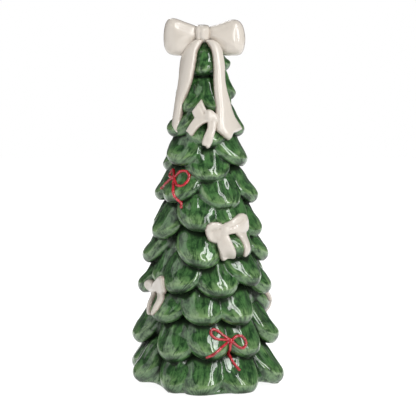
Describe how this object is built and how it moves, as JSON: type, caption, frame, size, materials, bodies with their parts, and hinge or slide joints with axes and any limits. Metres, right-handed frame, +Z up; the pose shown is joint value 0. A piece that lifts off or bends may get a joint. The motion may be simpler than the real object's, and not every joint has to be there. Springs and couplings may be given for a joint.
{
  "type": "christmas tree shelf sitter",
  "caption": "Glazed ceramic Christmas tree with drooping scalloped boughs in overlapping tiers and applied bows, standing flat on a shelf as a seasonal decoration",
  "frame": {"origin": "the middle of the base on the shelf plane, on the tree's axis, within 1.1 mm of the box centre", "axes": "+Z up the tree, front facing -Y, +X to the viewer's right"},
  "size_m": [0.1314, 0.1348, 0.3054],
  "materials": {
    "green_glaze": "high gloss translucent glaze on earthenware, pale at the lips and dark in the folds",
    "white_glaze": "gloss cream glaze on earthenware",
    "red_slip": "gloss red slip line",
    "felt": "matt felt"
  },
  "bodies": {
    "root": {"tree_casting": "green_glaze", "topper_knot": "white_glaze", "topper_loop_left": "white_glaze", "topper_loop_right": "white_glaze", "topper_tail_left": "white_glaze", "topper_tail_right": "white_glaze", "white_bow_upper": "white_glaze", "white_bow_middle": "white_glaze", "white_bow_left": "white_glaze", "white_bow_right": "white_glaze", "white_bow_back": "white_glaze", "red_bow_lower": "red_slip", "red_bow_left": "red_slip", "red_bow_back": "red_slip", "foot_pad_1": "felt", "foot_pad_2": "felt", "foot_pad_3": "felt", "foot_pad_4": "felt"}
  },
  "joints": []
}
